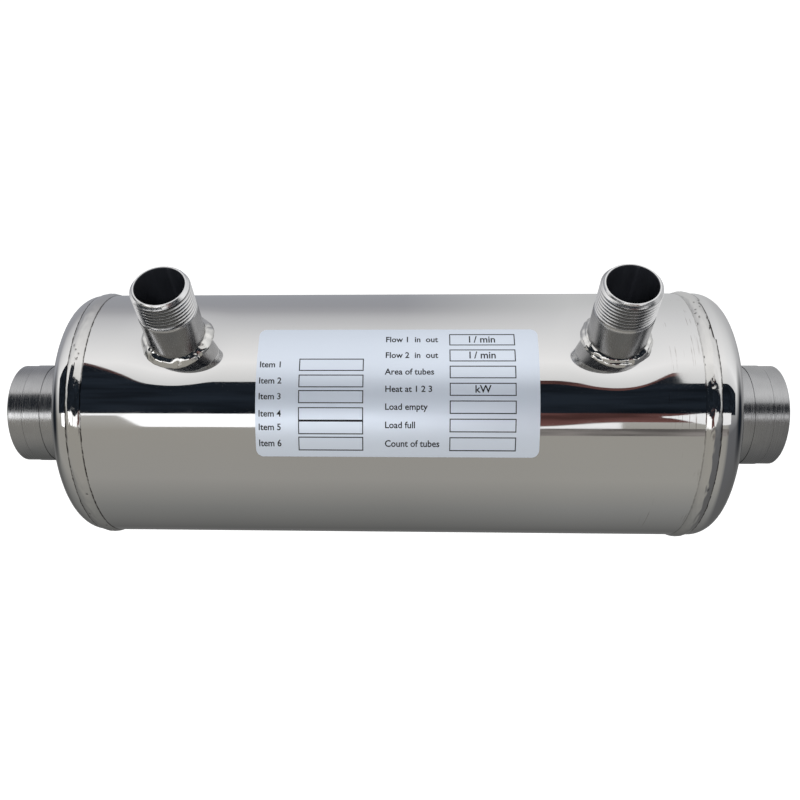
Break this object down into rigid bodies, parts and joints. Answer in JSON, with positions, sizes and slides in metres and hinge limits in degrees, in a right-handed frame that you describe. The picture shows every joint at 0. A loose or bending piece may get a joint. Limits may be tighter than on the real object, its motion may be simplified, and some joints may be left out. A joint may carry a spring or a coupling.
{
  "type": "shell and tube heat exchanger",
  "caption": "Welded stainless steel shell and tube heat exchanger: polished round shell with dished ends, threaded end sockets, threaded pipe nozzles on one side and a tube bundle inside.",
  "frame": {"origin": "centre of the left socket's mouth, on the shell axis", "axes": "+X along the shell to the right socket, +Z along the nozzles, away from the shell"},
  "size_m": [0.48, 0.1548, 0.1949],
  "materials": {
    "polished_steel": "mirror polished stainless steel",
    "turned_steel": "fine turned stainless steel",
    "pipe_steel": "satin drawn stainless pipe",
    "weld_steel": "polished weld metal with pits",
    "plain_steel": "plain mill finish stainless plate",
    "tube_steel": "plain drawn stainless tube",
    "plate_foil": "satin silver foil plate with a plain printed form"
  },
  "bodies": {
    "root": {"shell": "polished_steel", "left_head": "polished_steel", "right_head": "polished_steel", "left_socket": "turned_steel", "right_socket": "turned_steel", "left_nozzle": "pipe_steel", "right_nozzle": "pipe_steel", "left_seam_weld": "weld_steel", "right_seam_weld": "weld_steel", "left_socket_weld": "weld_steel", "right_socket_weld": "weld_steel", "left_nozzle_weld": "weld_steel", "right_nozzle_weld": "weld_steel", "left_tube_sheet": "plain_steel", "right_tube_sheet": "plain_steel", "baffle_1": "plain_steel", "baffle_2": "plain_steel", "baffle_3": "plain_steel", "tube_row_1": "tube_steel", "tube_row_2": "tube_steel", "tube_row_3": "tube_steel", "tube_row_4": "tube_steel", "tube_row_5": "tube_steel", "tube_row_6": "tube_steel", "tube_row_7": "tube_steel", "rating_plate": "plate_foil"}
  },
  "joints": []
}
